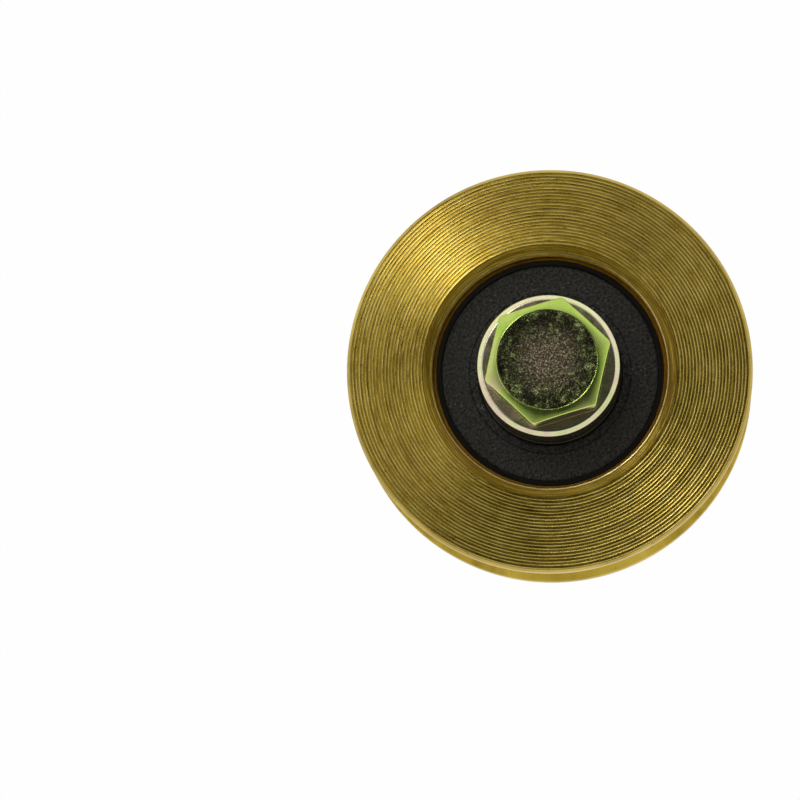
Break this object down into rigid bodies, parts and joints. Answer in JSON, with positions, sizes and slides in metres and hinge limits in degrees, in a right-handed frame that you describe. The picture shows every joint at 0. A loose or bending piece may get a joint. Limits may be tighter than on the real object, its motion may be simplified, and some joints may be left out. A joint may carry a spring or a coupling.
{
  "type": "v groove wheel",
  "caption": "Steel V groove track wheel on a sealed ball bearing, with a through bolt, stepped spacers, spring washer and nut.",
  "frame": {"origin": "centre of the bolt's end, on which the assembly stands, on the axis that the wheel turns about", "axes": "+Z along the wheel's axis, from the bolt's end towards its head; +X through a corner of the bolt head"},
  "size_m": [0.06, 0.06, 0.0564],
  "materials": {
    "gold_wheel": "turned steel, bright gold-yellow passivated",
    "bearing_steel": "ground and polished bearing steel",
    "ball_steel": "polished bearing balls",
    "cage_steel": "pressed bare steel",
    "seal_rubber": "matt black moulded rubber",
    "plated_spacer": "turned steel, yellow iridescent zinc plate",
    "plated_fastener": "steel, yellow-green iridescent zinc plate",
    "washer_steel": "dark plated spring steel"
  },
  "bodies": {
    "axle": {"hex_bolt": "plated_fastener", "spacer_upper": "plated_spacer", "spacer_lower": "plated_spacer", "spring_washer": "washer_steel", "hex_nut": "plated_fastener", "bearing_inner_ring": "bearing_steel"},
    "wheel": {"wheel_rim": "gold_wheel", "bearing_outer_ring": "bearing_steel", "seal_upper": "seal_rubber", "seal_lower": "seal_rubber"},
    "cage": {"cage_upper_half": "cage_steel", "cage_lower_half": "cage_steel", "cage_rivets": "cage_steel"},
    "ball_1": {"ball_1": "ball_steel"},
    "ball_2": {"ball_2": "ball_steel"},
    "ball_3": {"ball_3": "ball_steel"},
    "ball_4": {"ball_4": "ball_steel"},
    "ball_5": {"ball_5": "ball_steel"},
    "ball_6": {"ball_6": "ball_steel"},
    "ball_7": {"ball_7": "ball_steel"},
    "ball_8": {"ball_8": "ball_steel"}
  },
  "joints": [
    {"name": "wheel_spin", "type": "hinge", "parent": "axle", "child": "wheel", "pos_m": [0, 0, 0.0352], "axis": [0, 0, 1], "continuous": true},
    {"name": "cage_spin", "type": "hinge", "parent": "axle", "child": "cage", "pos_m": [0, 0, 0.0352], "axis": [0, 0, 1], "continuous": true},
    {"name": "ball_1_spin", "type": "hinge", "parent": "cage", "child": "ball_1", "pos_m": [0.0125, 0, 0.0352], "axis": [0, 0, 1], "continuous": true},
    {"name": "ball_2_spin", "type": "hinge", "parent": "cage", "child": "ball_2", "pos_m": [0.00884, 0.00884, 0.0352], "axis": [0, 0, 1], "continuous": true},
    {"name": "ball_3_spin", "type": "hinge", "parent": "cage", "child": "ball_3", "pos_m": [0, 0.0125, 0.0352], "axis": [0, 0, 1], "continuous": true},
    {"name": "ball_4_spin", "type": "hinge", "parent": "cage", "child": "ball_4", "pos_m": [-0.00884, 0.00884, 0.0352], "axis": [0, 0, 1], "continuous": true},
    {"name": "ball_5_spin", "type": "hinge", "parent": "cage", "child": "ball_5", "pos_m": [-0.0125, 0, 0.0352], "axis": [0, 0, 1], "continuous": true},
    {"name": "ball_6_spin", "type": "hinge", "parent": "cage", "child": "ball_6", "pos_m": [-0.00884, -0.00884, 0.0352], "axis": [0, 0, 1], "continuous": true},
    {"name": "ball_7_spin", "type": "hinge", "parent": "cage", "child": "ball_7", "pos_m": [0, -0.0125, 0.0352], "axis": [0, 0, 1], "continuous": true},
    {"name": "ball_8_spin", "type": "hinge", "parent": "cage", "child": "ball_8", "pos_m": [0.00884, -0.00884, 0.0352], "axis": [0, 0, 1], "continuous": true}
  ],
  "couplings": [
    {"joint": "cage_spin", "follows": "wheel_spin", "ratio": 0.61906},
    {"joint": "ball_1_spin", "follows": "wheel_spin", "ratio": 1.9807},
    {"joint": "ball_2_spin", "follows": "wheel_spin", "ratio": 1.9807},
    {"joint": "ball_3_spin", "follows": "wheel_spin", "ratio": 1.9807},
    {"joint": "ball_4_spin", "follows": "wheel_spin", "ratio": 1.9807},
    {"joint": "ball_5_spin", "follows": "wheel_spin", "ratio": 1.9807},
    {"joint": "ball_6_spin", "follows": "wheel_spin", "ratio": 1.9807},
    {"joint": "ball_7_spin", "follows": "wheel_spin", "ratio": 1.9807},
    {"joint": "ball_8_spin", "follows": "wheel_spin", "ratio": 1.9807}
  ]
}
